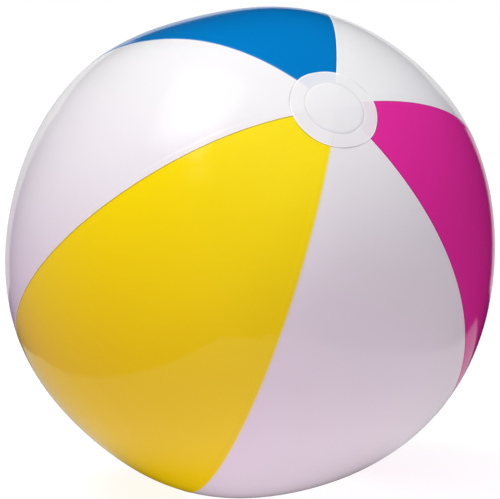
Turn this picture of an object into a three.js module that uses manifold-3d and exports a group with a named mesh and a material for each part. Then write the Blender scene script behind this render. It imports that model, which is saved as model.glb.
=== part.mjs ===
// Inflatable beach ball: six vinyl panels lapped and welded edge to edge, a round disc over the
// panel tips at each end, and a push-in air valve in the middle of one disc.
//
// Millimetres, +Z up. The origin is the middle of the small flat on which the ball rests. The line
// through the two discs leans along the (1, -1, 1) diagonal: the plain disc looks up and out to the
// front right, and the valve looks down and out to the back left.
//
// Three frames are used. The part's frame is the one above. The ball's own frame has its origin in the
// ball's centre and +Z through the plain disc. An end's frame has its origin on the ball's surface at
// that end and +Z outwards. Colatitude is the angle from the plain disc's centre.

import * as THREE from "three";
import { mergeVertices } from "three/addons/utils/BufferGeometryUtils.js";
import Module from "manifold-3d";

const wasm = await Module();
wasm.setup();

// ---- driving dimensions ----

const BALL_R = 200; // to the film's outside along a seam, half-way between the discs
const POLE_RISE = 3; // how much further out the film lies at the discs: the ball is slightly long
const PANELS = 6;
const PANEL_FLATNESS = 2.7; // how far a panel's middle lies inside the circle through its seams
const SKIN = 0.25; // vinyl film
const GAP = 0.3; // between layers that are welded on the real ball
const LAP = 3.2; // width of the welded lap along a seam
const JOGGLE = 2; // width over which a panel climbs on to its neighbour
const DISC_R = 33.5; // end disc, along the surface
const TIP_R = 23.7; // the panels are cut off this far from the axis, along the surface
const VALVE_HOLE_R = 9.2; // hole in the valve end's disc

const LAYER = SKIN + GAP; // each layer of film lies this much further out than the one below
const DEG = Math.PI / 180;
const PITCH = 360 / PANELS; // degrees of longitude from seam to seam

const ROUND = 32; // sides of the valve's round pieces
const DISC_SIDES = 48;

// ---- which way the ball lies ----

const POLE = new THREE.Vector3(1, -1, 1).normalize(); // the plain disc looks this way
const LEAN = Math.acos(POLE.z); // from the vertical
const LIE = new THREE.Quaternion().setFromUnitVectors(new THREE.Vector3(0, 0, 1), POLE);
const DOWN = new THREE.Vector3(0, 0, -1).applyQuaternion(LIE.clone().invert()); // in the ball's frame
const FOOT_LONGITUDE = Math.atan2(DOWN.y, DOWN.x) / DEG;
const FOOT_COLATITUDE = 180 - LEAN / DEG;
const FOOT_FROM_SEAM = 20.4; // degrees of longitude from the seam of the panel that it rests on
const FIRST_SEAM = FOOT_LONGITUDE - FOOT_FROM_SEAM;

// Half the size of the flat on which the ball rests, in degrees of longitude and of colatitude.
const FOOT_HALF_ACROSS = 4.2;
const FOOT_HALF_ALONG = 3.4;

// ---- helpers ----

// How far the film's outside along a seam lies from the ball's centre.
function seamRadius(colatitude) {
  return BALL_R + POLE_RISE * Math.cos(colatitude * DEG) ** 2;
}
const POLE_R = seamRadius(0);

// A thin box with its faces divided into columns and rows, each point moved to where place(u, v, w)
// says: u and v run from 0 to 1 across and along the sheet, and w is 0 inside and 1 outside.
function bentSheet(columns, rows, place) {
  const geometry = new THREE.BoxGeometry(1, 1, 1, columns, rows, 1);
  const points = geometry.getAttribute("position");
  for (let i = 0; i < points.count; i++) {
    const p = place(points.getX(i) + 0.5, points.getY(i) + 0.5, points.getZ(i) + 0.5);
    points.setXYZ(i, p.x, p.y, p.z);
  }
  return geometry;
}

// A profile of [radius, height] pairs turned round +Z. It runs anticlockwise as seen with the axis on
// the left, and it either starts and ends on the axis or is closed back to its first point.
function turned(profile, sides, onAxis) {
  const outline = onAxis ? profile : [...profile, profile[0]];
  const points = outline.map(([r, h]) => new THREE.Vector2(r, h));
  return new THREE.LatheGeometry(points, sides).rotateX(Math.PI / 2);
}

function vinyl(color, roughness = 0.25) {
  return new THREE.MeshStandardMaterial({ color, roughness, metalness: 0 });
}

function piece(name, geometry, material) {
  const mesh = new THREE.Mesh(geometry, material);
  mesh.name = name;
  return mesh;
}

// A geometry as a manifold-3d solid, and back.
function solid(geometry) {
  const bare = new THREE.BufferGeometry();
  bare.setAttribute("position", geometry.getAttribute("position"));
  bare.setIndex(geometry.index);
  const merged = mergeVertices(bare, 1e-4);
  return new wasm.Manifold(
    new wasm.Mesh({
      numProp: 3,
      vertProperties: merged.getAttribute("position").array,
      triVerts: new Uint32Array(merged.index.array),
    }),
  );
}

function fromSolid(made) {
  const mesh = made.getMesh();
  const geometry = new THREE.BufferGeometry();
  geometry.setAttribute("position", new THREE.BufferAttribute(mesh.vertProperties, 3));
  geometry.setIndex(new THREE.BufferAttribute(mesh.triVerts, 1));
  return geometry;
}

// ---- panels ----

const TIP = TIP_R / BALL_R / DEG; // colatitude of the panels' cut tips

// Angles from first to last, evenly spaced except that the foot's flat is one step of its own.
function aroundFoot(first, stepsBefore, foot, footHalf, stepsAfter, last) {
  const list = [];
  for (let i = 0; i <= stepsBefore; i++)
    list.push(THREE.MathUtils.lerp(first, foot - footHalf, i / stepsBefore));
  for (let i = 0; i <= stepsAfter; i++)
    list.push(THREE.MathUtils.lerp(foot + footHalf, last, i / stepsAfter));
  return list;
}

const ROWS = aroundFoot(TIP, 15, FOOT_COLATITUDE, FOOT_HALF_ALONG, 6, 180 - TIP);

// Where a panel's columns stand at a colatitude, in degrees from its own seam, and how far out the
// film lies there. The first two are the lap under one neighbour, and the last two lie over the other.
const STEPS_BEFORE_FOOT = 2;
function columns(colatitude) {
  const perMm = 1 / (BALL_R * Math.sin(colatitude * DEG)) / DEG;
  const half = (LAP / 2) * perMm;
  const climb = PITCH - half - JOGGLE * perMm;
  const plain = aroundFoot(half, STEPS_BEFORE_FOOT, FOOT_FROM_SEAM, FOOT_HALF_ACROSS, 5, climb);
  return [
    [-half, 0],
    ...plain.map((fromSeam) => [fromSeam, 0]),
    [PITCH - half, LAYER],
    [PITCH + half, LAYER],
  ];
}
const FOOT_COLUMNS = [1 + STEPS_BEFORE_FOOT, 2 + STEPS_BEFORE_FOOT];

// A point of the film in the ball's frame. It lies lift further out than the lowest layer's outside.
function onFilm(fromSeam, longitude, colatitude, lift) {
  const flat = (PANEL_FLATNESS / 2) * (1 - Math.cos(PANELS * fromSeam * DEG));
  const r = seamRadius(colatitude) - flat * Math.sin(colatitude * DEG) + lift;
  const outwards = r * Math.sin(colatitude * DEG);
  const along = r * Math.cos(colatitude * DEG);
  return new THREE.Vector3(
    outwards * Math.cos(longitude * DEG),
    outwards * Math.sin(longitude * DEG),
    along,
  );
}

// How far the ball's centre stands above the floor: the least that a corner of the foot reaches down.
const footCorners = [-FOOT_HALF_ALONG, FOOT_HALF_ALONG].flatMap((up) =>
  FOOT_COLUMNS.map((column) => {
    const colatitude = FOOT_COLATITUDE + up;
    const [fromSeam] = columns(colatitude)[column];
    return onFilm(fromSeam, FIRST_SEAM + fromSeam, colatitude, 0);
  }),
);
const CENTRE_HEIGHT = Math.min(...footCorners.map((corner) => corner.dot(DOWN)));

// The floor stops the film: a point that would lie below it, less its depth in the film, is held up.
function restOnFloor(point, depth) {
  const below = point.dot(DOWN) - (CENTRE_HEIGHT - depth);
  return below > 0 ? point.addScaledVector(DOWN, -below) : point;
}

function panel(index) {
  const seam = FIRST_SEAM + index * PITCH;
  const lastRow = ROWS.length - 1;
  const lastColumn = columns(90).length - 1;
  return bentSheet(lastColumn, lastRow, (u, v, w) => {
    const colatitude = ROWS[Math.round((1 - v) * lastRow)];
    const [fromSeam, lift] = columns(colatitude)[Math.round(u * lastColumn)];
    const depth = (1 - w) * SKIN;
    return restOnFloor(onFilm(fromSeam, seam + fromSeam, colatitude, lift - depth), depth);
  });
}

// ---- end discs ----

const DISC_LIFT = 2 * LAYER; // the disc lies over the laps of the panel tips
const DISC_STEP = 0.5; // inside the ring of panel tips the disc lies this much lower
const RING_OUT = 23.3; // where the disc starts to step down, and where it has
const RING_IN = 22.2;

// The height at which a film with its outside lifted from the ball's surface lies, at a distance from
// an end's middle, in that end's frame.
function onCap(along, lift) {
  const angle = along / BALL_R;
  const r = seamRadius(angle / DEG) + lift;
  return [r * Math.sin(angle), r * Math.cos(angle) - POLE_R];
}

// An end disc from its hole, or its middle, to its rim.
function endDisc(holeR) {
  const along = [DISC_R, (DISC_R + RING_OUT) / 2, RING_OUT, RING_IN];
  const inner = 3; // rings of faces inside the step
  for (let i = 1; i <= inner; i++) along.push(THREE.MathUtils.lerp(RING_IN, holeR, i / inner));
  const lift = (a) => DISC_LIFT - (a < RING_OUT ? DISC_STEP : 0);
  const outside = along.map((a) => onCap(a, lift(a)));
  const inside = along.map((a) => onCap(a, lift(a) - SKIN)).reverse();
  return turned([...inside, ...outside], DISC_SIDES, holeR === 0);
}

// ---- valve, in its end's frame, pushed in and closed as it is in play ----

const BORE_R = 3.9; // where the air goes through, and a pump's nozzle
const STEM_R = 5.5;
const MOUTH = -0.8; // height of the stem's open end
const ROOT = -8.6; // height of the top of the flange at the stem's root
const ROOT_R = 7;
const ROOT_THICK = 1.3;
const NOZZLE_R = 5.2; // the stem's inner end, on which the flap closes
const NOZZLE_END = -12.5;
const FLAP_R = 4.9;
const FLAP_THICK = 0.4;
const LIP_R = 8.1; // inside of the lip round the well that the stem sinks into
const LIP_TOP = 0.95;
const HEAD_R = 6.2;
const HEAD_TOP = 2;

// The welded base: a round flange under the disc, with a lip that comes up through the disc's hole.
function valveFlange() {
  const out = 15;
  const under = -1.3;
  const lipOut = LIP_R + 0.8;
  return turned(
    [
      [LIP_R, under],
      [out, under],
      [out, -0.55],
      [lipOut, -0.2],
      [lipOut, LIP_TOP - 0.2],
      [lipOut - 0.2, LIP_TOP],
      [LIP_R + 0.2, LIP_TOP],
      [LIP_R, LIP_TOP - 0.2],
    ],
    ROUND,
    false,
  );
}

// The thin sleeve that joins the lip to the stem's root and turns inside out as the stem moves.
function valveCollar() {
  const wall = 0.5;
  const top = LIP_R - GAP;
  const foot = ROOT + GAP;
  return turned(
    [
      [ROOT_R - wall, foot],
      [ROOT_R, foot],
      [top, -1],
      [top, 0.5],
      [top - wall, 0.5],
      [top - wall, -1],
    ],
    ROUND,
    false,
  );
}

function valveStem() {
  const chamfer = 0.3;
  return turned(
    [
      [BORE_R, NOZZLE_END],
      [NOZZLE_R, NOZZLE_END],
      [NOZZLE_R, ROOT - ROOT_THICK],
      [ROOT_R, ROOT - ROOT_THICK],
      [ROOT_R, ROOT],
      [STEM_R, ROOT],
      [STEM_R, MOUTH - chamfer],
      [STEM_R - chamfer, MOUTH],
      [BORE_R + chamfer, MOUTH],
      [BORE_R, MOUTH - chamfer],
    ],
    ROUND,
    false,
  );
}

// The one-way flap over the stem's inner end. Its hinge is the edge towards -Y.
function checkFlap() {
  const middle = NOZZLE_END - GAP - FLAP_THICK / 2;
  return new THREE.CylinderGeometry(FLAP_R, FLAP_R, FLAP_THICK, ROUND)
    .rotateX(Math.PI / 2)
    .translate(0, 0, middle);
}

// The stopper: a hollow tapered shank, a round head, and an ear on the head to lift it by.
function valvePlug() {
  const under = MOUTH + GAP;
  const shankR = BORE_R - GAP;
  const hollowR = 2.2;
  const tip = under - 7;
  const round = 0.6;
  const body = turned(
    [
      [0, under - 0.7],
      [hollowR, under - 0.7],
      [hollowR, tip],
      [shankR - 0.4, tip],
      [shankR, tip + 3],
      [shankR, under],
      [HEAD_R, under],
      [HEAD_R, HEAD_TOP - round],
      [HEAD_R - round, HEAD_TOP],
      [0, HEAD_TOP],
    ],
    ROUND,
    true,
  );
  const earWide = 4.6;
  const earOut = 10.4; // from the axis
  const earIn = 4;
  const earThick = HEAD_TOP - LIP_TOP - GAP;
  const outline = new THREE.Shape();
  outline.moveTo(-earWide / 2, earIn);
  outline.lineTo(earWide / 2, earIn);
  outline.lineTo(earWide / 2, earOut - earWide / 2);
  outline.absarc(0, earOut - earWide / 2, earWide / 2, 0, Math.PI, false);
  const ear = new THREE.ExtrudeGeometry(outline, {
    depth: earThick,
    bevelEnabled: false,
    curveSegments: 8,
  }).translate(0, 0, HEAD_TOP - earThick);
  return fromSolid(solid(body).add(solid(ear)));
}

// The strap that keeps the plug on the valve. It winds up round the stem from the root to the head.
function plugTether() {
  const thick = 0.4;
  const inner = STEM_R + GAP;
  const high = 2.4;
  const turn = 150 * DEG;
  const lowest = ROOT + GAP;
  const highest = MOUTH - high;
  return bentSheet(16, 1, (u, v, w) => {
    const angle = u * turn;
    const r = inner + w * thick;
    const height = THREE.MathUtils.lerp(lowest, highest, u) + v * high;
    return new THREE.Vector3(r * Math.cos(angle), r * Math.sin(angle), height);
  });
}

// ---- the ball ----

const WHITE = vinyl("#eceaef");
const PANEL_COLOURS = [
  ["panel_white_low", WHITE],
  ["panel_magenta", vinyl("#c21a86")],
  ["panel_white_right", WHITE],
  ["panel_blue", vinyl("#0077c8")],
  ["panel_white_left", WHITE],
  ["panel_yellow", vinyl("#f6d70c")],
];
const SOFT_CLEAR = vinyl("#e4e6ea", 0.35);

function plainEnd() {
  const end = new THREE.Group();
  end.position.z = POLE_R;
  end.add(piece("end_disc_plain", endDisc(0), WHITE));
  return end;
}

// The valve end is turned so that the flap's hinge lies level, along the part's (1, 1, 0).
function valveEnd() {
  const end = new THREE.Group();
  end.position.z = -POLE_R;
  end.rotation.set(Math.PI, 0, -45 * DEG);
  end.add(
    piece("end_disc_valve", endDisc(VALVE_HOLE_R), WHITE),
    piece("valve_flange", valveFlange(), SOFT_CLEAR),
    piece("valve_collar", valveCollar(), SOFT_CLEAR),
    piece("valve_stem", valveStem(), SOFT_CLEAR),
    piece("valve_check_flap", checkFlap(), SOFT_CLEAR),
    piece("valve_plug", valvePlug(), SOFT_CLEAR),
    piece("plug_tether", plugTether(), SOFT_CLEAR),
  );
  return end;
}

const ball = new THREE.Group();
PANEL_COLOURS.forEach(([name, material], index) => ball.add(piece(name, panel(index), material)));
ball.add(plainEnd(), valveEnd());
ball.quaternion.copy(LIE);
ball.position.z = CENTRE_HEIGHT;

const part = new THREE.Group();
part.add(ball);

export default part;
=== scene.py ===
# %% [markdown]
# # An inflatable beach ball
# The ball is six gores of thin vinyl, cut like orange peel and welded edge over edge. A round disc is
# welded over the tips of the gores at each end, and one disc carries the valve. This lesson starts
# from a finished engineering model, the frame, and gives every piece its fine surface: the laps of
# the welds, the small puckers along them, the rounded edges of the valve, and a glossy vinyl finish.
# The frame is loaded first, because the ball's centre and axis are worked out from it, and its box is
# compared with the finished ball's at the end.

import math

import bmesh
import bpy
import numpy as np
from mathutils import Matrix, Vector


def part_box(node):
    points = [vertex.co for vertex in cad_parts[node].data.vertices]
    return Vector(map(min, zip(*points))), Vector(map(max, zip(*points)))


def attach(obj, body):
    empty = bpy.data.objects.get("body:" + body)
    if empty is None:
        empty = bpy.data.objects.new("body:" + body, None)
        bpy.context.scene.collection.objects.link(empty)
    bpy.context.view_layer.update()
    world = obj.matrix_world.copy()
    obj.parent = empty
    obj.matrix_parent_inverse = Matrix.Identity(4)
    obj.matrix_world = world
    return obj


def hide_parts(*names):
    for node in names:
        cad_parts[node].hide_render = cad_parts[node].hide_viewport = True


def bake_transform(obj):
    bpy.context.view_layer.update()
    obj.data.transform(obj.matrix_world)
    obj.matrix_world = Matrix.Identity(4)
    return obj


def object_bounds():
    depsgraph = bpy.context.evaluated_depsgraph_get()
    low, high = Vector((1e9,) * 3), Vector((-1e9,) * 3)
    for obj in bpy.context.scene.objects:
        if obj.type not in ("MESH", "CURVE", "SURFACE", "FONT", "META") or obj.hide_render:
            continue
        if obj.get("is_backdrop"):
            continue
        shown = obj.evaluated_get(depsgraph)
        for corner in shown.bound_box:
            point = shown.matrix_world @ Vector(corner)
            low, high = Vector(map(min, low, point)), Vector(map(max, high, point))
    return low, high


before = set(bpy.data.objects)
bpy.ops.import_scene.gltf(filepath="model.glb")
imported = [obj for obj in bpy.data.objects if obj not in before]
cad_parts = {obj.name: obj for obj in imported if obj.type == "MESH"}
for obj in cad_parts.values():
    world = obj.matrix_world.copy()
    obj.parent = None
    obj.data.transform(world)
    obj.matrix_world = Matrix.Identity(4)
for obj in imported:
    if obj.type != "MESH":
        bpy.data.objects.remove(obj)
cad_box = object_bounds()

# %% [markdown]
# ## Where the ball lies
# The ball rests on a small flat, with the line through its two discs leaning over. It is far easier to
# shape a gore in the ball's own frame, with its centre at zero and +Z through the plain disc, and to
# turn the finished points into place. Both discs are round about that line, so the middles of their
# boxes give the centre and the direction, and nothing has to be typed in.

# %% the ball's own frame
MM = 0.001


def middle(node):
    """The middle of a frame node's box."""
    low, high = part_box(node)
    return (low + high) / 2


CENTRE = (middle("end_disc_plain") + middle("end_disc_valve")) / 2
POLE = (middle("end_disc_plain") - middle("end_disc_valve")).normalized()
LIE = Vector((0, 0, 1)).rotation_difference(POLE)
BALL = Matrix.Translation(CENTRE) @ LIE.to_matrix().to_4x4()
DOWN = LIE.inverted() @ Vector((0, 0, -1))
print("the ball's centre is at", [round(x, 4) for x in CENTRE])


def placed(points, matrix=BALL):
    """Points of any array of triples, moved by a matrix."""
    turn = np.array(matrix.to_3x3())
    return points @ turn.T + np.array(matrix.translation)


# %% [markdown]
# ## The shape of the film
# A blown-up ball is not quite a sphere. Each gore is flatter across its middle than a sphere would be,
# because flat film bends one way only, and the whole ball is slightly long from disc to disc. One
# function says how far the film lies from the centre, and everything else is laid on it.
#
# Hand-fed welding is never quite even. The film ended up a little full in one place and a little slack
# in another, which the lumps below add. Three seams also swing by one to four degrees round the axis on
# their way up to the plain disc, and a second function gives that swing.

# %% how far the film lies from the centre
BALL_R = 200 * MM
POLE_RISE = 3 * MM
GORES = 6
FLATNESS = 2.7 * MM
PITCH = 2 * math.pi / GORES
FOOT_FROM_SEAM = math.radians(20.4)
FIRST_SEAM = math.atan2(DOWN.y, DOWN.x) - FOOT_FROM_SEAM
# Each lump has a place, in gores from the first seam, a distance from the plain pole, a height and a spread.
LUMPS = ((2.45, 165 * MM, 4.0 * MM, 75 * MM), (3.75, 180 * MM, -4.2 * MM, 62 * MM))
SEAM_SWING = np.radians([0.0, -1.9, 0.0, 0.0, -1.1, -3.6])
SWING_REACH = 115 * MM
POLE_TO_POLE = math.pi * BALL_R


def film_radius(from_seam, colatitude):
    """Distance of the film from the ball's centre, at angles measured from a seam and from the pole."""
    dip = FLATNESS / 2 * (1 - np.cos(GORES * from_seam))
    radius = BALL_R + POLE_RISE * np.cos(colatitude) ** 2 - dip * np.sin(colatitude)
    for place, distance, height, spread in LUMPS:
        top = distance / BALL_R
        near = np.sin(colatitude) * math.sin(top) * np.cos(from_seam - place * PITCH)
        near = np.arccos(np.clip(near + np.cos(colatitude) * math.cos(top), -1, 1))
        radius = radius + height * np.exp(-((BALL_R * near / spread) ** 2))
    return radius


def swing(longitude, colatitude):
    """How far the seams near a longitude swing round the axis, at an angle from the plain disc."""
    seams = np.append(SEAM_SWING, SEAM_SWING[0])
    amount = np.interp(np.mod((longitude - FIRST_SEAM) / PITCH, GORES), np.arange(GORES + 1), seams)
    return amount * np.exp(-((BALL_R * colatitude / SWING_REACH) ** 2))


def on_sphere(radius, longitude, colatitude):
    """The points at these distances and angles, in the ball's frame, with the swing."""
    longitude = longitude + swing(longitude, colatitude)
    out = radius * np.sin(colatitude)
    return np.stack(
        [out * np.cos(longitude), out * np.sin(longitude), radius * np.cos(colatitude)], -1
    )


POLE_R = float(film_radius(0.0, 0.0))
print("the film is", round(POLE_R / MM, 1), "mm from the centre under the discs")

# %% [markdown]
# ## A helper that weaves a closed skin
# Thin film still has two faces and an edge. All of the pieces here can be written as rows of points
# that run round in loops: round the ball's axis for a disc, and out over the top and back underneath
# for a gore. The helper joins each row to the next, closes the ends in one of three ways, and keeps a
# flat map of the skin, so that the finish can be baked. Faces that meet at a clear corner stay crisp.

# %% weave rows of points into a skin
SHARP = math.radians(38)
SAME_PLACE = 1e-7


def weave(name, rows, ends, across=None, along=None):
    """A closed mesh from an array of rows, columns and triples.

    ends is "points" where the first and last rows are single points, "slits" where each is a flat
    loop, and "ring" where the last row joins the first. across and along place the flat map.
    """
    count, around = rows.shape[:2]
    index = np.arange(count * around).reshape(count, around)
    across = np.linspace(0, 1, around + 1) if across is None else across
    along = np.linspace(0, 1, count + (ends == "ring")) if along is None else along
    lower = np.arange(count if ends == "ring" else count - 1)
    upper = (lower + 1) % count
    column = np.arange(around)
    following = (column + 1) % around
    quads = np.stack(
        [
            index[lower][:, column],
            index[lower][:, following],
            index[upper][:, following],
            index[upper][:, column],
        ],
        -1,
    ).reshape(-1, 4)
    left, right = np.meshgrid(across[:-1], along[:-1]), np.meshgrid(across[1:], along[1:])
    flat = np.stack(
        [
            np.stack([left[0], left[1]], -1),
            np.stack([right[0], left[1]], -1),
            np.stack([right[0], right[1]], -1),
            np.stack([left[0], right[1]], -1),
        ],
        -2,
    ).reshape(-1, 4, 2)
    if ends == "slits":
        near = np.arange(around // 2 - 1)
        far = around - 1 - near
        for row, order in ((index[0], (3, 2, 1, 0)), (index[-1], (0, 1, 2, 3))):
            cap = np.stack([row[near], row[near + 1], row[far - 1], row[far]], -1)
            quads = np.concatenate([quads, cap[:, order]])
            edge = along[0] if order[0] else along[-1]
            spot = np.stack([across[near], np.full(len(near), edge)], -1)
            flat = np.concatenate([flat, np.repeat(spot[:, None], 4, 1)])
    mesh = bpy.data.meshes.new(name)
    mesh.from_pydata(rows.reshape(-1, 3).tolist(), [], quads.tolist())
    mesh.uv_layers.new(name="OFBake").data.foreach_set("uv", flat.astype(np.float32).ravel())
    piece = bpy.data.objects.new(name, mesh)
    bpy.context.scene.collection.objects.link(piece)
    return tidied(piece, ends == "points")


def tidied(piece, has_points=False):
    """Merges doubled points, turns the faces outwards and sets smooth shading with crisp corners."""
    made = bmesh.new()
    made.from_mesh(piece.data)
    if has_points:
        bmesh.ops.remove_doubles(made, verts=made.verts, dist=SAME_PLACE)
    if made.calc_volume(signed=True) < 0:
        bmesh.ops.reverse_faces(made, faces=made.faces)
    made.to_mesh(piece.data)
    made.free()
    piece.data.polygons.foreach_set("use_smooth", [True] * len(piece.data.polygons))
    piece.data.set_sharp_from_angle(angle=SHARP)
    return piece


def keep(piece, name, values, kind="FLOAT"):
    """Keeps a number or a colour for every point of a piece, for its finish to read."""
    made = piece.data.attributes.new(name, kind, "POINT")
    made.data.foreach_set("value" if kind == "FLOAT" else "color", np.ravel(values).astype(np.float32))


def two_faces(outer, inner):
    """Places on the flat map for thin film: nearly all of it for the outer face, the rest inside."""
    return np.concatenate([np.linspace(0, 0.94, outer), np.linspace(0.95, 1, inner)])


print("corners sharper than", round(math.degrees(SHARP)), "degrees stay crisp")

# %% [markdown]
# ## Gores
# The welding tool presses the edge of one gore on to the next in a band about 3 mm wide. It leaves fine
# ribs along the band and for a millimetre beyond it. The film gathers a little as it cools, so short
# puckers run out from the weld and die away. All of this is far thinner than a finger nail, but gloss
# shows it, so it is made in the mesh: columns of points stand close together near the welds and wide
# apart in the middle of the gore, where the film is smooth.

# %% the weld and the puckers along it
SKIN = 0.25 * MM
LAYER = SKIN + 0.02 * MM
WELD_RISE = 0.15 * MM
HALF_LAP = 1.6 * MM
CLIMB = 3.0 * MM
RIBS_TO, RIBS_GONE = HALF_LAP + 1.0 * MM, HALF_LAP + 1.4 * MM
RIB_HIGH = 0.022 * MM
RIB_EVERY = 0.8 * MM
PUCKER_HIGH = 0.022 * MM
PUCKER_REACH = 4.5 * MM
PUCKER_EVERY = 11.6 * MM
UNEVEN_EVERY, SWELL_EVERY = 23 * MM, 27 * MM
MORE_AT_TIPS, MORE_WITHIN = 1.3, 50 * MM


def smooth(x, start, end):
    """0 before start and 1 after end, with a soft turn between."""
    t = np.clip((x - start) / (end - start), 0, 1)
    return t * t * (3 - 2 * t)


def from_pole(along):
    """Distance over the film from the nearer pole, at a distance from the plain one."""
    return np.minimum(along, POLE_TO_POLE - along)


def climb(beyond):
    """0 on a gore's own film and 1 on its neighbour, at a distance past the middle of the lap."""
    return smooth(beyond, -HALF_LAP - CLIMB, -HALF_LAP)


def ribs(beyond):
    """Height of the weld's fine ribs, at a distance from the middle of the lap."""
    band = smooth(beyond, -HALF_LAP, -HALF_LAP + 0.3 * MM)
    band = band * (1 - smooth(beyond, RIBS_TO, RIBS_GONE))
    return RIB_HIGH * band * np.cos(2 * math.pi * beyond / RIB_EVERY)


def puckers(beyond, along, seam):
    """Height of the puckers, at a distance out from a weld and a place along it."""
    swell = 0.55 + 0.45 * np.sin(along / SWELL_EVERY + 2.4 * seam)
    ends = 1 + MORE_AT_TIPS * np.exp(-from_pole(along) / MORE_WITHIN)
    wave = np.sin(2 * math.pi * along / PUCKER_EVERY + 1.3 * np.sin(along / UNEVEN_EVERY + seam))
    reach = np.maximum(beyond - HALF_LAP, 0) / PUCKER_REACH
    return PUCKER_HIGH * swell * ends * wave * reach * np.exp(1 - reach)


print("puckers stand at most", round((1 + MORE_AT_TIPS) * PUCKER_HIGH / MM, 3), "mm high")

# %% [markdown]
# A gore's columns are set out in three groups: a few under the neighbour's edge, a long row across the
# film, and a close group where it climbs on to the next gore. Its rows crowd together at the rims of
# the end discs, where the film between the laps is pressed nearly flat under the disc's edge, and a
# thin line of shade is painted round the rim.

# %% the places of a gore's points
DISC_R = 33.5 * MM
TIP_R = 23.7 * MM
START_COLUMNS = np.array([-1.6, -1.2, 0, 1.2, 1.45, 1.6, 1.75, 2.0, 2.2, 2.4, 2.6, 2.8, 3.0, 3.2]) * MM
END_COLUMNS = np.concatenate([np.arange(-5.0, -1.9, 0.4), np.arange(-1.8, 1.3, 0.2), [1.4, 1.52, 1.6]])
END_COLUMNS = END_COLUMNS * MM
MIDDLE_COLUMNS = (1 - np.cos(np.linspace(0, math.pi, 58)[1:-1])) / 2


def rows_to_middle():
    """Distances along a gore from the pole to half-way."""
    under = np.arange(TIP_R, DISC_R - 0.8 * MM, 1.2 * MM)
    rim = np.arange(DISC_R - 0.6 * MM, DISC_R + 1.6 * MM, 0.2 * MM)
    spread = np.linspace(rim[-1] + 0.4 * MM, POLE_TO_POLE / 2, 186)
    return np.concatenate([under, rim, spread])


HALF = rows_to_middle()
ROWS = np.concatenate([HALF, (POLE_TO_POLE - HALF[:-1])[::-1]])[:, None]
COLATITUDES = ROWS / BALL_R


def across_gore(round_here):
    """Angles of a gore's columns from its first seam, where the film runs at a distance from the axis."""
    first = START_COLUMNS / round_here
    last = PITCH + END_COLUMNS / round_here
    between = first[:, -1:] + MIDDLE_COLUMNS * (last[:, :1] - first[:, -1:])
    return np.concatenate([first, between, last], 1)


print("a gore has", len(ROWS), "rows of points")

# %% [markdown]
# The film's two faces come next. The outer one carries the ribs and the puckers and climbs on to the
# next gore, and between the laps the discs' welds press it nearly flat. The inner one is the same sheet
# one film's thickness further in, or less in the weld, which squeezes the two films together. The whole
# ball stands on the floor, so film that would hang below it is laid flat.

# %% a gore's two faces
EDGE_DROP = 0.04 * MM
LEFT_UNDER_DISC = 0.15
FLOOR_TURN = 0.25 * MM


def film_lift(after, beyond, number):
    """Height of a gore's outer face over the plain film, at distances past its two seams."""
    lift = WELD_RISE * climb(beyond) - EDGE_DROP * smooth(beyond, HALF_LAP - 0.2 * MM, HALF_LAP)
    lift = lift + ribs(beyond) + ribs(after) * smooth(after, HALF_LAP, HALF_LAP + 0.2 * MM)
    lift = lift + puckers(after, ROWS, number) + puckers(-beyond, ROWS, number + 1)
    clear = smooth(from_pole(ROWS) - DISC_R, -1.0 * MM, 0.5 * MM)
    return lift * (LEFT_UNDER_DISC + (1 - LEFT_UNDER_DISC) * clear) ** (beyond < -HALF_LAP)


def settle(points):
    """Holds film that would lie below the floor up on it, with a soft turn at the edge of the flat."""
    height = points[..., 2]
    points[..., 2] = (height + np.sqrt(height**2 + FLOOR_TURN**2)) / 2
    return points


def inner_face(outside, beyond):
    """The inner face that belongs to a gore's outer face."""
    outwards = outside - np.array(CENTRE)
    outwards = outwards / np.linalg.norm(outwards, axis=-1, keepdims=True)
    squeezed = SKIN + (WELD_RISE - LAYER) * climb(beyond)
    return outside - squeezed[..., None] * outwards


print("two welded films are", round((SKIN + WELD_RISE) / MM, 2), "mm thick together")

# %% [markdown]
# A finish can't tell where a seam is, so three masks are kept on the points of every gore: how close a
# point is to an edge beside which a thin line of shade is painted, whether it lies on the lap, and how
# close it is to the gore's own cut edge, along which a highlight is painted (a darker line on magenta).
# The colour of the film underneath is kept too, because white film lets a little of it through.

# %% the film's colours and masks
COLOURS = {
    "white": (0.80, 0.80, 0.80),
    "magenta": (0.75, 0.0256, 0.32),
    "blue": (0.0005, 0.176, 0.49),
    "yellow": (0.93, 0.74, 0.0025),
}
GORE_COLOURS = [
    ("panel_white_low", "white"),
    ("panel_magenta", "magenta"),
    ("panel_white_right", "white"),
    ("panel_blue", "blue"),
    ("panel_white_left", "white"),
    ("panel_yellow", "yellow"),
]
SHADE_LINE_SHOWS = {"white": 0.15, "magenta": 1.0, "blue": 0.8, "yellow": 1.0}
LINE_WIDE = 1.0 * MM
LINE_OUT = 0.15 * MM
RIM_LINE_WIDE = 0.8 * MM
EDGE_WIDE = 0.9 * MM
EDGE_FULL = 1.3


def cut_edge(inwards):
    """1 at a cut edge, fading out over its width, at a distance inwards from it."""
    return np.clip(EDGE_FULL - EDGE_FULL * inwards / EDGE_WIDE, 0, 1)


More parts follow.
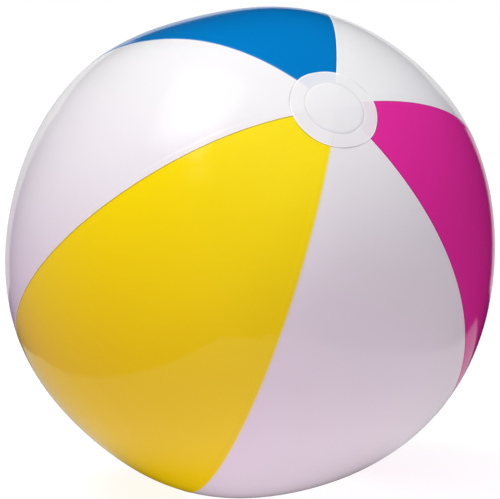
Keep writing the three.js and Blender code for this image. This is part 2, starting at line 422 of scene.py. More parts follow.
def mark_gore(made, number, after, beyond):
    """Keeps the masks of a gore, and the colour of the gore that it climbs on to."""
    shows = SHADE_LINE_SHOWS[GORE_COLOURS[number][1]]
    # Painted shade: a thin dark line just past the edge of the neighbour's lap and round each disc's rim.
    beside_lap = np.clip(1 - np.abs(after - HALF_LAP - LINE_OUT) / LINE_WIDE, 0, 1) * shows
    round_disc = 1 - np.abs(from_pole(ROWS) - DISC_R) / RIM_LINE_WIDE
    pressed_shade = np.clip(np.maximum(beside_lap, round_disc), 0, 1)
    lap = smooth(beyond, -HALF_LAP - 0.3 * MM, -HALF_LAP + 0.1 * MM)
    # The edge mask places a painted highlight along the gore's cut edge, darker on magenta.
    for mask, value in (("pressed_shade", pressed_shade), ("lap", lap), ("edge", cut_edge(HALF_LAP - beyond))):
        value = np.broadcast_to(value, beyond.shape)
        keep(made, mask, np.concatenate([value, value[:, ::-1]], 1))
    beneath = COLOURS[GORE_COLOURS[(number + 1) % GORES][1]]
    keep(made, "beneath", np.tile((*beneath, 1), len(made.data.vertices)), "FLOAT_COLOR")


print("the gores' colours in turn:", [colour for _, colour in GORE_COLOURS])

# %% [markdown]
# Now one function gives a whole gore from its number round the ball, and a loop makes all six.

# %% six gores
def gore(number):
    """The gore that starts at a seam and climbs on to the next one."""
    round_here = BALL_R * np.sin(COLATITUDES)
    from_seam = across_gore(round_here)
    after = from_seam * round_here
    beyond = (from_seam - PITCH) * round_here
    radius = film_radius(number * PITCH + from_seam, COLATITUDES) + film_lift(after, beyond, number)
    longitude = FIRST_SEAM + number * PITCH + from_seam
    outside = settle(placed(on_sphere(radius, longitude, COLATITUDES)))
    loop = np.concatenate([outside, inner_face(outside, beyond)[:, ::-1]], 1)
    columns = outside.shape[1]
    made = weave(GORE_COLOURS[number][0], loop, "slits", two_faces(columns, columns + 1))
    mark_gore(made, number, after, beyond)
    return made


GORE_PIECES = [gore(number) for number in range(GORES)]
print("gores:", len(GORE_PIECES), "with", len(GORE_PIECES[0].data.polygons), "faces each")

# %% [markdown]
# ## End discs
# Each disc covers the six tips. Its outer ring is welded flat on to them, and shows the laps that run
# in under it. Inside the weld nothing backs the disc, so the air pushes it out into a low dome, with a
# fine groove round it where the weld's inner edge was pressed. Its rim is not quite round, because the
# weld draws it in a little between the seams.

# %% the shape of an end disc
GROOVE_R = 22.6 * MM
GROOVE_WIDE = 0.55 * MM
GROOVE_DEEP = 0.10 * MM
DOME = 0.55 * MM
VALVE_END_DOME = 0.3
DISC_CUT = 0.06 * MM
DISC_RIB_HIGH = 0.006 * MM
DISC_RIB_EVERY = 1.25 * MM


def disc_distances(start, steps):
    """Distances from the middle where a disc has a ring of points, closest at the groove and the rim."""
    inner = np.linspace(start, GROOVE_R - 2.6 * MM, steps)
    groove = np.arange(GROOVE_R - 2.4 * MM, GROOVE_R + 1.7 * MM, 0.15 * MM)
    outer = np.linspace(groove[-1] + 0.4 * MM, DISC_R - 0.5 * MM, 15)
    rim = DISC_R - np.array([0.3, 0.18, 0.08, 0.0]) * MM
    return np.concatenate([inner, groove, outer, rim])[:, None]


def over_laps(longitude, distance):
    """How much the disc is lifted where it crosses the laps of the gores."""
    from_seam = np.mod(longitude - FIRST_SEAM + PITCH / 2, PITCH) - PITCH / 2
    aside = from_seam * distance
    return WELD_RISE * climb(aside) * (1 - smooth(aside, HALF_LAP - 0.1 * MM, HALF_LAP + 0.7 * MM))


def disc_lift(longitude, distance, reach, end):
    """Height of a disc's outer face over the gores, with its dome, groove, ribs and cut edge."""
    on_tips = smooth(distance, GROOVE_R - 0.3 * MM, TIP_R)
    dome = smooth(distance, GROOVE_R, GROOVE_R - 2.2 * MM) * 0.35
    dome = DOME * (dome + 0.65 * (1 - np.minimum(distance / GROOVE_R, 1) ** 2))
    lift = LAYER + over_laps(longitude, reach) * on_tips + dome * (1 if end > 0 else VALVE_END_DOME)
    lift = lift - GROOVE_DEEP * np.exp(-(((distance - GROOVE_R) / GROOVE_WIDE) ** 2))
    lift = lift - DISC_CUT * smooth(distance, DISC_R - 0.3 * MM, DISC_R)
    weld = on_tips * (1 - smooth(distance, DISC_R - 1.2 * MM, DISC_R - 0.6 * MM))
    return lift + DISC_RIB_HIGH * weld * np.cos(2 * math.pi * distance / DISC_RIB_EVERY)


print("a disc's weld is", round((DISC_R - TIP_R) / MM, 1), "mm wide")

# %% [markdown]
# A disc is laid out in rings round its middle, on the shape of the film beneath. The one at the valve's
# end has a hole for the valve, so its rings close on themselves, while the plain one ends in a point on
# each face.

# %% laying a disc
DISC_AROUND = 360


def disc(name, end, hole):
    """The disc at one end, 1 for the plain end and -1 for the valve's, with a hole or without."""
    distance = disc_distances(hole or 0.0, 16 if hole else 24)
    longitude = np.linspace(0, 2 * math.pi, DISC_AROUND, endpoint=False)[None, :] * end
    wander = 0.25 * np.cos(GORES * (longitude - FIRST_SEAM)) + 0.2 * np.sin(3 * longitude + 0.7)
    reach = distance + smooth(distance, TIP_R, DISC_R) * wander * MM
    colatitude = reach / BALL_R
    base = film_radius(longitude - FIRST_SEAM, colatitude)
    if end < 0:
        colatitude = math.pi - colatitude
    lift = disc_lift(longitude, distance, reach, end)
    outside = placed(on_sphere(base + lift, longitude, colatitude))
    inside = placed(on_sphere(base + lift - SKIN, longitude, colatitude))
    loop = np.concatenate([outside, inside[::-1]])
    along = two_faces(len(distance), len(distance) + bool(hole))
    return weave(name, loop, "ring" if hole else "points", None, along)


print("a disc has", DISC_AROUND, "points round its rim")

# %% [markdown]
# The disc's film is a little clearer than the gores', so a deep colour shows through faintly where it
# lies on it. The colour under each point is looked up from the gore beneath, and its edges are as
# sharp as the seams are. The disc has the same masks as a gore: a thin line of shade is painted in its
# groove, and a highlight along its rim, the cut edge.

# %% both discs, with the colours beneath them
SHOWS_THROUGH = {"white": 0.0, "yellow": 0.02, "magenta": 0.08, "blue": 0.13}
VALVE_HOLE_R = 9.05 * MM


def mark_disc(made):
    """Keeps a disc's masks, and the colour of the gore under every one of its points."""
    co = np.array([v.co for v in made.data.vertices])
    local = (co - np.array(CENTRE)) @ np.array(LIE.to_matrix())
    colatitude = np.arccos(np.clip(local[:, 2] / np.linalg.norm(local, axis=1), -1, 1))
    turn = np.arctan2(local[:, 1], local[:, 0])
    turn = turn - swing(turn, colatitude) - FIRST_SEAM
    distance = np.minimum(colatitude, math.pi - colatitude) * BALL_R
    shifted = turn - HALF_LAP / np.maximum(distance, 1 * MM)
    number = np.floor(np.mod(shifted, 2 * math.pi) / PITCH).astype(int) % GORES
    white = np.array(COLOURS["white"])
    palette = []
    for _, colour in GORE_COLOURS:
        palette.append(white + SHOWS_THROUGH[colour] * (np.array(COLOURS[colour]) - white))
    tint = np.array(palette)[number]
    keep(made, "beneath", np.column_stack([tint, np.ones(len(co))]), "FLOAT_COLOR")
    keep(made, "lap", smooth(distance, TIP_R - 1.5 * MM, TIP_R + 1.5 * MM))
    # Painted shade: a thin dark line in the groove. The edge mask below places a painted highlight on the
    # rim.
    keep(made, "pressed_shade", np.clip(1 - np.abs(distance - GROOVE_R) / GROOVE_WIDE, 0, 1))
    keep(made, "edge", cut_edge(DISC_R - distance))
    return made


plain_disc = mark_disc(disc("end_disc_plain_film", 1, None))
valve_disc = mark_disc(disc("end_disc_valve_film", -1, VALVE_HOLE_R))
print("discs:", len(plain_disc.data.polygons), "and", len(valve_disc.data.polygons), "faces")

# %% [markdown]
# ## The valve
# The valve is one soft, clear moulding, shown here as the pieces that move: a flange welded under the
# disc with a lip round a well, a stem that sinks into the well, a thin collar that joins the two and
# turns inside out, a plug with an ear, the plug's strap, and a flap that stops the air. All but the
# ear and the strap are turned shapes, so each starts as a half outline. Moulded edges are never sharp,
# so the corners of an outline are rounded before it is turned.

# %% rounding and turning an outline
VALVE = BALL @ Matrix.Translation((0, 0, -POLE_R)) @ Matrix.Rotation(math.pi, 4, "X")
VALVE = VALVE @ Matrix.Rotation(-math.pi / 4, 4, "Z")
AROUND = 96


def rounded(outline, closed):
    """An outline of (radius, height, rounding) in mm, with an arc of four steps at every corner."""
    points = [Vector(corner[:2]) for corner in outline]
    made = []
    for i, (corner, (_, _, size)) in enumerate(zip(points, outline)):
        if size == 0 or (not closed and i in (0, len(points) - 1)):
            made.append(corner)
            continue
        before, after = points[i - 1] - corner, points[(i + 1) % len(points)] - corner
        size = min(size, before.length * 0.45, after.length * 0.45)
        start, end = corner + before.normalized() * size, corner + after.normalized() * size
        for t in np.linspace(0, 1, 5):
            made.append(start.lerp(corner, t).lerp(corner.lerp(end, t), t))
    return np.array(made) * MM


def turned(name, outline, closed=True):
    """An outline turned round the valve's axis. It starts and ends on the axis, or is closed."""
    profile = rounded(outline, closed)
    angle = np.linspace(0, 2 * math.pi, AROUND, endpoint=False)[None, :]
    radius = profile[:, :1] + 0 * angle
    height = profile[:, 1:] + 0 * angle
    rows = np.stack([radius * np.cos(angle), radius * np.sin(angle), height], -1)
    return weave(name, placed(rows, VALVE), "ring" if closed else "points")


print("the valve's axis is", [round(x, 3) for x in VALVE.to_3x3() @ Vector((0, 0, 1))])

# %% [markdown]
# The flange, collar and stem hold these main sizes in common. Heights are measured outwards from the
# ball's surface, so what is sunk in the well is below zero.

# %% flange, collar and stem
BORE_R, STEM_R, ROOT_R, NOZZLE_R = 3.9, 5.5, 7.0, 5.2
MOUTH, ROOT, NOZZLE_END = -0.8, -8.6, -12.5
ROOT_THICK = 1.3
FLANGE_R, FLANGE_FOOT = 15.0, -1.3
LIP_R, LIP_OUT_R, LIP_TOP = 8.1, 8.9, 0.95
COLLAR_R, WALL = LIP_R - 0.05, 0.5
COLLAR_TOP, COLLAR_FOOT = 0.45, ROOT + 0.05
GRIP_R = STEM_R + 0.12

flange = turned(
    "valve_flange_moulding",
    [
        (LIP_R, FLANGE_FOOT, 0.2),
        (FLANGE_R, FLANGE_FOOT, 0.25),
        (FLANGE_R, -0.55, 0.3),
        (9.6, -0.2, 0.3),
        (LIP_OUT_R, -0.1, 0.3),
        (LIP_OUT_R, LIP_TOP, 0.35),
        (LIP_R, LIP_TOP, 0.3),
    ],
)
collar = turned(
    "valve_collar_sleeve",
    [
        (ROOT_R - WALL, COLLAR_FOOT, 0.1),
        (ROOT_R, COLLAR_FOOT, 0.1),
        (LIP_R - 0.75, -5.0, 2.0),
        (COLLAR_R, -1.0, 1.5),
        (COLLAR_R, COLLAR_TOP, 0.2),
        (COLLAR_R - WALL, COLLAR_TOP, 0.2),
        (COLLAR_R - WALL, -1.0, 1.5),
        (LIP_R - 0.75 - WALL, -5.0, 2.0),
    ],
)
stem = turned(
    "valve_stem_moulding",
    [
        (BORE_R, NOZZLE_END, 0.3),
        (NOZZLE_R, NOZZLE_END, 0.3),
        (NOZZLE_R, ROOT - ROOT_THICK, 0.4),
        (ROOT_R, ROOT - ROOT_THICK, 0.3),
        (ROOT_R, ROOT, 0.3),
        (STEM_R, ROOT, 0.4),
        (STEM_R, -3.2, 0),
        (GRIP_R, -3.0, 0.1),
        (GRIP_R, -2.4, 0.1),
        (STEM_R, -2.2, 0),
        (STEM_R, MOUTH, 0.45),
        (BORE_R, MOUTH, 0.35),
    ],
)
print("valve well:", round(2 * LIP_R, 1), "mm across,", round(LIP_TOP - ROOT, 1), "mm deep")

# %% [markdown]
# The collar has to be many rings high, because it bends as the stem is pulled, and a long straight
# side has no points along it to bend. A few cuts across the long faces give it those points.

# %% more rings in the collar
LONGEST_STEP = 0.6 * MM
CUTS = 4


def cut_rings(piece, longest):
    """Splits every edge of a turned piece that runs along the axis and is too long."""
    axis = VALVE.to_3x3() @ Vector((0, 0, 1))
    made = bmesh.new()
    made.from_mesh(piece.data)
    for _ in range(CUTS):
        long_edges = [
            edge
            for edge in made.edges
            if abs((edge.verts[0].co - edge.verts[1].co).dot(axis)) > longest
        ]
        bmesh.ops.subdivide_edges(made, edges=long_edges, cuts=1, use_grid_fill=True)
    made.to_mesh(piece.data)
    made.free()


cut_rings(collar, LONGEST_STEP)
print("collar:", len(collar.data.polygons), "faces")

# %% [markdown]
# The plug is a hollow tapered shank under a round head. Its ear is a flat tongue with a rounded end
# and three grip ribs, joined to the head by a boolean union, so that the two are one skin.

# %% plug with its ear
HEAD_R, HEAD_TOP = 6.2, 2.0
UNDER_HEAD = MOUTH + 0.3
SHANK_R, SHANK_LONG, HOLLOW_R = BORE_R - 0.12, 7, 2.2
EAR_WIDE, EAR_OUT, EAR_IN = 4.6, 10.4, 4.0
EAR_THICK, EAR_BELOW_HEAD = 0.75, 0.18
GRIP_FROM, GRIP_TO, GRIP_EVERY, GRIP_HIGH = 7.2, 9.9, 0.9, 0.16


def ear_slab():
    """The plug's ear: a tongue with soft edges, thicker across its three grip ribs."""
    half = EAR_WIDE / 2
    turn = np.linspace(0, math.pi, 25)
    reach = EAR_OUT - half
    tip = np.stack([half * np.cos(turn), reach + half * np.sin(turn)], -1)
    down = np.linspace(reach, EAR_IN, 30)[1:]
    left = np.stack([np.full(len(down), -half), down], -1)
    right = np.stack([np.full(len(down), half), down[::-1]], -1)
    outline = np.concatenate([right, tip, left])
    levels = [(0.0, 0.0), (0.35, 0.0), (0.72, 0.0), (0.92, 0.07), (1.0, 0.2)]
    middle_of = np.array([0, (EAR_IN + reach) / 2])
    rows = []
    steps = [(share, drop, 1) for share, drop in levels] + [(s, d, -1) for s, d in levels[::-1]]
    for share, drop, side in steps:
        spread = middle_of + (outline - middle_of) * share
        out = spread[:, 1]
        rib = np.exp(-((np.mod(out - GRIP_FROM, GRIP_EVERY) - GRIP_EVERY / 2) / 0.2) ** 2)
        rib = GRIP_HIGH * rib * (out > GRIP_FROM) * (out < GRIP_TO) * (share < 0.8)
        top = HEAD_TOP - drop - EAR_BELOW_HEAD + (rib if side > 0 else 0)
        bottom = HEAD_TOP - EAR_THICK + drop
        rows.append(np.column_stack([spread, top if side > 0 else np.full(len(out), bottom)]))
    return weave("ear", placed(np.array(rows) * MM, VALVE), "points")


def joined(piece, extra):
    """The union of two closed pieces, kept in the first."""
    cut = piece.modifiers.new("union", "BOOLEAN")
    cut.operation, cut.solver, cut.object = "UNION", "EXACT", extra
    shape = bpy.data.meshes.new_from_object(piece.evaluated_get(bpy.context.evaluated_depsgraph_get()))
    piece.modifiers.clear()
    piece.data = shape
    bpy.data.objects.remove(extra)
    return tidied(piece)


plug = turned(
    "valve_plug_moulding",
    [
        (0, UNDER_HEAD - 0.7, 0),
        (HOLLOW_R, UNDER_HEAD - 0.7, 0.3),
        (HOLLOW_R, UNDER_HEAD - SHANK_LONG, 0.2),
        (SHANK_R - 0.5, UNDER_HEAD - SHANK_LONG, 0.3),
        (SHANK_R - 0.1, UNDER_HEAD - 4, 0.5),
        (SHANK_R - 0.25, UNDER_HEAD - 1.6, 0.3),
        (SHANK_R - 0.1, UNDER_HEAD, 0.2),
        (HEAD_R, UNDER_HEAD, 0.35),
        (HEAD_R, HEAD_TOP - 0.15, 0.6),
        (4.6, HEAD_TOP, 0.3),
        (4.3, HEAD_TOP - 0.3, 0.2),
        (1.5, HEAD_TOP - 0.3, 0.5),
        (0, HEAD_TOP - 0.25, 0),
    ],
    closed=False,
)
plug = joined(plug, ear_slab())
print("plug:", len(plug.data.polygons), "faces")

# %% [markdown]
# The strap winds up round the stem from its root to the plug's head. It is a ribbon with soft edges
# and many steps along it, because it stretches into a longer screw as the plug is drawn. The flap is
# a thin disc held at one edge, with a small step where it was moulded on.

# %% strap and flap
STRAP_R = STEM_R + 0.28
STRAP_THICK, STRAP_HIGH = 0.42, 2.4
STRAP_TURN = math.radians(150)
STRAP_STEPS = 61


def strap():
    """The plug's strap, from the stem's root to the underside of the head."""
    u = np.linspace(0, 1, STRAP_STEPS)[:, None]
    angle = u * STRAP_TURN
    low = ROOT - 0.02 + (MOUTH - STRAP_HIGH - ROOT + 0.34) * smooth(u, -0.08, 1.08)
    section = [(0, 0.12), (0, 1.2), (0, 2.28), (0.08, STRAP_HIGH), (0.34, STRAP_HIGH)]
    section = section + [(STRAP_THICK, 2.28), (STRAP_THICK, 1.2), (STRAP_THICK, 0.12), (0.34, 0), (0.08, 0)]
    out = STRAP_R + np.array([s[0] for s in section])
    height = low + np.array([s[1] for s in section])
    rows = np.stack([out * np.cos(angle), out * np.sin(angle), height], -1)
    return weave("plug_tether_strap", placed(rows * MM, VALVE), "slits")


FLAP_R, FLAP_THICK = 4.9, 0.4
FLAP_TOP = NOZZLE_END - 0.05
tether = strap()
flap = turned(
    "valve_flap_disc",
    [
        (0, FLAP_TOP - FLAP_THICK, 0),
        (3.2, FLAP_TOP - FLAP_THICK, 0.1),
        (3.5, FLAP_TOP - FLAP_THICK - 0.1, 0.1),
        (FLAP_R, FLAP_TOP - FLAP_THICK - 0.1, 0.12),
        (FLAP_R, FLAP_TOP, 0.12),
        (0, FLAP_TOP, 0),
    ],
    closed=False,
)
print("strap and flap made")

# %% [markdown]
# ## What moves with what
# Each piece rides on a body of the frame and stands for the plain solid of the same place. The collar
# and the strap are soft; they are not hung on a body but stay where they were made, their plain solids
# are hidden, and the points on the valve's axis worked out for them are not used.

# %% hang the rigid pieces on their bodies
def on_axis(height):
    """A point on the valve's axis, at a height in mm."""
    return tuple(VALVE @ Vector((0, 0, height * MM)))


RIDES = [
    (plain_disc, "ball", "end_disc_plain", "vinyl_disc"),
    (valve_disc, "ball", "end_disc_valve", "vinyl_disc"),
    (flange, "ball", "valve_flange", "valve_clear"),
    (stem, "stem", "valve_stem", "valve_clear"),
    (plug, "plug", "valve_plug", "valve_clear"),
    (flap, "flap", "valve_check_flap", "valve_clear"),
]
for made, (node, colour) in zip(GORE_PIECES, GORE_COLOURS):
    made.name = node + "_film"
    RIDES.append((made, "ball", node, "vinyl_" + colour))
for piece, body, node, slot in RIDES:
    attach(piece, body)
    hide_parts(node)

on_axis(COLLAR_TOP - 1.6)
on_axis(COLLAR_FOOT + 0.6)
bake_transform(collar)
on_axis(ROOT + 0.6)
on_axis(MOUTH - 0.5)
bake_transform(tether)
for piece, node in ((collar, "valve_collar"), (tether, "plug_tether")):
    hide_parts(node)

# %% [markdown]
# ## Writing a finish as sums
# A finish is easier to read as arithmetic than as a web of boxes. This small class holds one socket of
# a node tree. Adding or multiplying two of them adds the right node: a Math node for plain values, and
# Mix or Vector Math for colours and vectors, because a Math node would turn a colour grey.

# %% a socket that can be used in sums
class Strand:
    """One output socket of a finish, on which ordinary arithmetic adds nodes."""

    def __init__(self, tree, socket=None):
        self.tree = tree
        self.socket = socket

    def node(self, kind, settings=(), inputs=(), output=0):
        """Adds a node. Its settings are made first, then its sockets are given values or links."""
        made = self.tree.nodes.new("ShaderNode" + kind)
        for name, value in dict(settings).items():
            setattr(made, name, value)
        for key, value in dict(inputs).items():
            if isinstance(value, Strand):
                self.tree.links.new(value.socket, made.inputs[key])
            else:
                made.inputs[key].default_value = value
        return Strand(self.tree, made.outputs[output] if made.outputs else None)

    def sum(self, operation, first, second):
        """One step of arithmetic, by the node that suits what flows in this strand."""
        if self.socket.type == "RGBA":
            settings = {"data_type": "RGBA", "blend_type": operation}
            return self.node("Mix", settings, {0: 1.0, 6: shade(first), 7: shade(second)}, 2)
        kind = "VectorMath" if self.socket.type == "VECTOR" else "Math"
        return self.node(kind, {"operation": operation}, {0: first, 1: second})

    def __add__(self, other):
        return self.sum("ADD", self, other)

    __radd__ = __add__

    def __sub__(self, other):
        return self.sum("SUBTRACT", self, other)

    def __rsub__(self, other):
        return self.sum("SUBTRACT", other, self)

    def __mul__(self, other):
        return self.sum("MULTIPLY", self, other)

    __rmul__ = __mul__

    def to(self, other, share):
        """This colour going over to another by a share from 0 to 1."""
        settings = {"data_type": "RGBA", "blend_type": "MIX"}
        return self.node("Mix", settings, {0: share, 6: self, 7: shade(other)}, 2)


def shade(value):
    """A number or three numbers as a colour with four, and a strand as it is."""
    if isinstance(value, Strand):
        return value
    return (value,) * 3 + (1,) if isinstance(value, (int, float)) else (*value, 1)


print("arithmetic on sockets is ready")

# %% [markdown]
# ## Starting a finish
# Every finish starts from an empty tree, gets a shader, and joins it to the output. The noises in the
# finishes are laid out in real lengths, so their grain keeps its size on every piece.

# %% a blank finish
def blank(name):
    """A new material with an empty tree, and a strand to start from."""
    material = bpy.data.materials.new(name)
    material.use_nodes = True
    material.node_tree.nodes.clear()
    return material, Strand(material.node_tree)


def finished(material, start, shader):
    """Joins a shader to the material's output."""
    start.node("OutputMaterial", (), {0: shader})
    return material


def noise(start, place, scale, detail=2.0):
    """A soft noise between 0 and 1, with about this many lumps to the metre."""
    return start.node("TexNoise", (), {"Vector": place, "Scale": scale, "Detail": detail})


def kept(start, name, output="Fac"):
    """What was kept on the points of a piece under a name."""
    return start.node("Attribute", {"attribute_name": name}, (), output)


print("helpers for a finish:", [helper.__name__ for helper in (blank, finished, noise, kept)])

# %% [markdown]
# ## Vinyl
# Calendered vinyl film is smooth and glossy, but never a perfect mirror: the rollers leave it very
# slightly pebbled, the colour varies by a hair, and a lap is a little duller where it was pressed. Beside
# an edge that lies on the film, and in a disc's groove, a thin line of shade is painted, and the film is
# a little duller there too. Along the cut edge a highlight is painted, and on magenta a darker line of
# shade. Under a disc, and very faintly under a white lap, the colour beneath shows through. All of these
# are laid over the film's colour one after the other.

# %% the vinyl finish
VARIES = 0.07
SMOOTHEST, LAP_DULLER, LINE_DULLER = 0.085, 0.03, 0.08


def vinyl(name, colour, line, cut, see_through=0.0):
    """Glossy film. line says how dark the painted line of shade is, and cut is the colour painted along the
    cut edge, a highlight on most films.
    """
    material, start = blank(name)
    place = start.node("TexCoord", (), (), "Object")
    cloudy = noise(start, place, 9.0, 3.0)
    pebble = noise(start, place, 420.0)
    drawn = noise(start, place, 60.0)
    pressed_shade, edge, lap = kept(start, "pressed_shade"), kept(start, "edge"), kept(start, "lap")
    base = start.node("RGB")
    base.socket.default_value = shade(colour)
    base = base.to(kept(start, "beneath", "Color"), lap * see_through)
    # Painted shade: a thin darker line on the line mask. Painted highlight: the cut colour along the cut
    # edge, darker on magenta.
    base = (base * (1 - pressed_shade * line)).to(cut, edge)
    base = base * (1 - VARIES / 2 + cloudy * VARIES)
    height = pebble + drawn * 0.6
    shader = start.node("BsdfPrincipled", (), {
        "Base Color": base,
        "Roughness": SMOOTHEST + drawn * 0.05 + lap * LAP_DULLER + pressed_shade * LINE_DULLER,
        "IOR": 1.53,
        "Normal": start.node("Bump", (), {"Strength": 0.06, "Distance": 0.0004, "Height": height}),
    })
    return finished(material, start, shader)


# The third value is how dark the painted line of shade is, the fourth the colour painted along the cut edge:
# a highlight, and on magenta a darker line of shade.
VINYLS = {
    "white": vinyl("white vinyl", COLOURS["white"], 0.3, (0.96, 0.93, 0.89), 0.02),
    "magenta": vinyl("magenta vinyl", COLOURS["magenta"], 0.5, (0.40, 0.02, 0.18)),
    "blue": vinyl("blue vinyl", COLOURS["blue"], 0.5, (0.12, 0.36, 0.66)),
    "yellow": vinyl("yellow vinyl", COLOURS["yellow"], 0.6, (0.93, 0.80, 0.42)),
}
# The disc's 0.16 is its painted line of shade in the groove, and its near-white rim a painted highlight.
DISC_VINYL = vinyl("disc vinyl", COLOURS["white"], 0.16, (0.95, 0.95, 0.95), 1.0)
for piece, (_, colour) in zip(GORE_PIECES, GORE_COLOURS):
    piece.data.materials.append(VINYLS[colour])
for piece in (plain_disc, valve_disc):
    piece.data.materials.append(DISC_VINYL)
print("vinyl finishes:", len(VINYLS) + 1)

# %% [markdown]
# ## Soft clear moulding
# The valve is moulded in unpigmented soft vinyl. It is cloudy rather than clear at this thickness, a
# little greyer than the film, and satin, because the mould was lightly blasted. A share of transmission,
# some light scattered under its skin and a slight unevenness in roughness make it read as soft plastic
# instead of white paint.

# %% the valve's finish
CLOUDY_WHITE = (0.70, 0.74, 0.79)


def clear_moulding():
    """Cloudy soft vinyl for the valve."""
    material, start = blank("clear soft vinyl")
    place = start.node("TexCoord", (), (), "Object")
    cloudy = noise(start, place, 160.0)
    grain = noise(start, place, 2600.0)
    base = start.node("RGB")
    base.socket.default_value = shade(CLOUDY_WHITE)
    shader = start.node("BsdfPrincipled", (), {
        "Base Color": base * (0.94 + cloudy * 0.12),
        "Roughness": 0.24 + cloudy * 0.12,
        "IOR": 1.52,
        "Transmission Weight": 0.12,
        "Subsurface Weight": 0.25,
        "Subsurface Radius": (1.0, 1.0, 1.0),
        "Subsurface Scale": 0.0015,
        "Normal": start.node("Bump", (), {"Strength": 0.15, "Distance": 0.0001, "Height": grain}),
    })
    return finished(material, start, shader)


CLEAR = clear_moulding()
for piece in (flange, collar, stem, plug, tether, flap):
    piece.data.materials.clear()
    piece.data.materials.append(CLEAR)
print("valve finish on six pieces")

# %% [markdown]
# ## Camera
# The ball is seen a little from the right of its front, from just above its middle, with a long lens.
# The camera is aimed slightly over the ball's middle, which leaves the floor some room.

# %% camera
VIEW_AZIMUTH = math.radians(23.22)
VIEW_ELEVATION = math.radians(4.41)
VIEW_DISTANCE = 1.427
SEES_TO = 100
SENSOR_WIDE = 36.0
LENS = 125.7
AIM_UP = 2.0 * MM
AIM_RIGHT = -0.2 * MM

back = Vector((
    math.sin(VIEW_AZIMUTH) * math.cos(VIEW_ELEVATION),
    -math.cos(VIEW_AZIMUTH) * math.cos(VIEW_ELEVATION),
    math.sin(VIEW_ELEVATION),
))
right = Vector((math.cos(VIEW_AZIMUTH), math.sin(VIEW_AZIMUTH), 0))
camera = bpy.data.objects.new("camera", bpy.data.cameras.new("camera"))
bpy.context.scene.collection.objects.link(camera)
camera.data.sensor_width = SENSOR_WIDE
camera.data.lens = LENS
camera.location = CENTRE + VIEW_DISTANCE * back
aim = CENTRE + AIM_UP * back.cross(right) + AIM_RIGHT * right
camera.rotation_mode = "QUATERNION"
camera.rotation_quaternion = (aim - camera.location).to_track_quat("-Z", "Y")
camera.data.clip_end = SEES_TO
bpy.context.scene.camera = camera
print("camera at", [round(x, 3) for x in camera.location])

# %% [markdown]
# ## Studio
# The light is a pale tent: a strong soft key high on the left, a broad light overhead, a near-white
# bounce from below, and weak pink, lilac and grey fills from the other sides. A world shader can say
# all of this at once, as a sum of soft lobes, each a colour and a direction. What lights the film and
# what shows in its gloss are kept apart, as a photographer does with black cards, so that the colours
# stay deep: the gloss sees a weaker key, a narrow strip and two dim walls. The camera itself sees plain
# white instead of the tent.

# %% the light tent
KEY = (-0.385, 0.891, 0.241)
STRIP = (-0.36, 0.57, 0.74)
# Each lobe has a direction, as right, up and towards the camera, a sharpness and a colour.
LIGHT_LOBES = {
    "key": (KEY, 80.0, (26.47, 26.55, 26.47)),
    "overhead": ((0.1, 0.9, 0.6), 8.0, (2.82, 3.1, 2.87)),
    "front": ((0.0, 0.0, 1.0), 3.0, (0.387, 0.257, 0.387)),
    "bounce": ((0.0, -1.0, 0.0), 4.0, (2.32, 2.2, 2.26)),
    "low left": ((-1.0, -1.0, 1.0), 3.0, (0.45, 0.11, 0.4)),
    "low right": ((1.0, -1.0, -1.0), 3.0, (0.75, 0.61, 0.69)),
    "high right": ((1.0, 1.0, -1.0), 3.0, (0.3, 0.2, 0.42)),
    "rear": ((0.0, 0.0, -1.0), 1.0, (0.52, 0.48, 0.52)),
}
GLOSS_LOBES = {
    "key": (KEY, 80.0, (0.45, 0.45, 0.45)),
    "strip": (STRIP, 250.0, (0.4, 0.4, 0.4)),
    "left wall": ((-0.82, -0.33, -0.42), 3.0, (0.22, 0.12, 0.3)),
    "front wall": ((0.0, -0.2, 1.0), 2.0, (0.08, 0.06, 0.12)),
}
LEVEL_BACK = Vector((back.x, back.y, 0)).normalized()
UP = Vector((0, 0, 1))


def lobes(start, towards, table):
    """The sum of a table's lobes in the direction that light comes from, as a background."""
    total = start.node("RGB")
    total.socket.default_value = (0, 0, 0, 1)
    for (aside, up, nearer), sharpness, colour in table.values():
        direction = (aside * right + up * UP + nearer * LEVEL_BACK).normalized()
        facing = start.node("VectorMath", {"operation": "DOT_PRODUCT"}, {0: towards, 1: direction}, 1)
        lit = start.node("Math", {"operation": "MAXIMUM"}, {0: facing, 1: 0.0})
        lit = start.node("Math", {"operation": "POWER"}, {0: lit, 1: sharpness})
        total = total + start.node("CombineColor", (), {i: lit * colour[i] for i in range(3)})
    return start.node("Background", (), {"Color": total, "Strength": 1.0})


def light_tent():
    """The world: one set of lobes for matt light, one for gloss, and plain white for the camera."""
    world = bpy.data.worlds.new("light tent")
    world.use_nodes = True
    world.node_tree.nodes.clear()
    start = Strand(world.node_tree)
    towards = start.node("TexCoord", (), (), "Generated")
    plain = start.node("Background", (), {"Color": (1, 1, 1, 1), "Strength": 1.0})
    in_gloss = start.node("LightPath", (), (), "Is Glossy Ray")
    seen = start.node("LightPath", (), (), "Is Camera Ray")
    light, gloss = lobes(start, towards, LIGHT_LOBES), lobes(start, towards, GLOSS_LOBES)
    tent = start.node("MixShader", (), {0: in_gloss, 1: light, 2: gloss})
    start.node("OutputWorld", (), {0: start.node("MixShader", (), {0: seen, 1: tent, 2: plain})})
    bpy.context.scene.world = world


light_tent()
print("tent lobes:", list(LIGHT_LOBES), "and in the gloss:", list(GLOSS_LOBES))

# %% [markdown]
# The floor is a wide pale sheet that only the camera sees. Part of its white is its own light, so it
# stays pale and even, and the ball leaves just a soft shadow where it stands.

# %% floor
FLOOR_HALF = 12.0
FLOOR_DROP = 0.2 * MM
FLOOR_WHITE, FLOOR_GLOW = 0.22, 0.84


def stage_plane(name, corners, material):
    """A flat stage piece from its corners."""
    mesh = bpy.data.meshes.new(name)
    mesh.from_pydata(corners, [], [tuple(range(len(corners)))])
    made = bpy.data.objects.new(name, mesh)
    bpy.context.scene.collection.objects.link(made)
    made.data.materials.append(material)
    made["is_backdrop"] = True
    return made


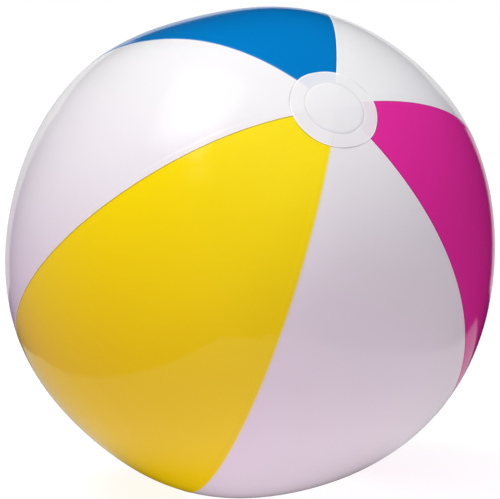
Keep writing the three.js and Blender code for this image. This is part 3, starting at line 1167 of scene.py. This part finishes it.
def glowing(name, white, glow, shadow_span=None):
    """A matt stage finish with light of its own, with an optional painted shadow: the light is 0 near the
    foot and comes up between two distances of it.
    """
    material, start = blank(name)
    lit = (1, 1, 1, 1)
    if shadow_span:
        place = start.node("TexCoord", (), (), "Object")
        away = start.node("VectorMath", {"operation": "LENGTH"}, {0: place}, 1)
        span = {"Value": away, "From Min": shadow_span[0], "From Max": shadow_span[1]}
        lit = start.node("MapRange", {"interpolation_type": "SMOOTHSTEP"}, span)
    shader = start.node("BsdfPrincipled", (), {
        "Base Color": shade(white),
        "Roughness": 0.9,
        "Specular IOR Level": 0.0,
        "Emission Color": lit,
        "Emission Strength": glow,
    })
    return finished(material, start, shader)


def hidden_from(made, *rays):
    """Hides a stage piece from some kinds of ray."""
    for ray in rays:
        setattr(made, "visible_" + ray, False)


floor = stage_plane(
    "floor",
    [(x, y, -FLOOR_DROP) for x, y in ((-1, -1), (1, -1), (1, 1), (-1, 1))],
    glowing("pale floor", FLOOR_WHITE, FLOOR_GLOW),
)
floor.scale = (FLOOR_HALF, FLOOR_HALF, 1)
hidden_from(floor, "glossy", "diffuse", "transmission", "shadow")
print("floor", 2 * FLOOR_HALF, "m across")

# %% [markdown]
# Gloss needs something to reflect. The table's white top shows in the lower half of the ball with a
# clear edge, and the white sheet behind brightens its rim. A third card, high on the left, is the soft
# light itself. Only gloss can see the cards. The table's card has a painted shadow round the foot, where
# the ball shades the table: its glow is dimmed there.

# %% three cards
TABLE_DROP = 0.4 * MM
TABLE_GLOW = 0.47
# The painted shadow round the foot: no glow nearer than the first distance, full glow beyond the second.
TABLE_SHADOW_SPAN = (0.09, 0.17)
# The corners of the table top, as distances right of the ball's foot and towards the camera.
TABLE_CORNERS = (
    (-0.10, 0.42), (0.13, 0.42), (0.30, 0.17), (0.44, -0.12), (0.59, -0.42),
    (-0.40, -0.50), (-0.36, -0.13), (-0.25, 0.10),
)
BACK_AWAY, BACK_GLOW = -1.2, 0.62
BACK_LEFT, BACK_RIGHT, BACK_HIGH = -0.9, 0.74, 0.75
# The corners of the soft light, as distances right of the ball's middle, above it and towards the camera.
SOFT_LIGHT = ((-0.74, 1.84, -0.29), (-1.31, 1.38, 0.63), (-0.66, 1.20, 1.40), (-0.08, 1.90, 0.40))
SOFT_LIGHT_GLOW = 1.05


def by_foot(aside, nearer, height):
    """A point from distances right of the ball's foot, towards the camera and above the floor."""
    return tuple(aside * right + nearer * LEVEL_BACK + Vector((0, 0, height)))


def card(name, corners, glow, shadow_span=None):
    """A glowing card that shows in reflections only."""
    made = stage_plane(name, corners, glowing(name, 0.0, glow, shadow_span))
    hidden_from(made, "camera", "diffuse", "transmission", "shadow", "volume_scatter")


table = [by_foot(aside, nearer, -TABLE_DROP) for aside, nearer in TABLE_CORNERS]
sheet_foot = [by_foot(aside, BACK_AWAY, 0) for aside in (BACK_LEFT, BACK_RIGHT)]
sheet_top = [by_foot(aside, BACK_AWAY, BACK_HIGH) for aside in (BACK_RIGHT, BACK_LEFT)]
light = [by_foot(aside, nearer, CENTRE.z + up) for aside, up, nearer in SOFT_LIGHT]
card("table_card", table, TABLE_GLOW, TABLE_SHADOW_SPAN)
card("backdrop_card", sheet_foot + sheet_top, BACK_GLOW)
card("soft_light_card", light, SOFT_LIGHT_GLOW)
bpy.context.scene.view_settings.view_transform = "Standard"
print("three reflection cards")

# %% [markdown]
# ## Sizes
# The finished ball must be as large as the frame says. Both boxes are measured, and their differences
# in millimetres are printed.

# %% compare the boxes and finish
visual_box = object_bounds()
for cad_corner, corner in zip(cad_box, visual_box):
    print("difference in mm:", [round(x / MM, 2) for x in corner - cad_corner])
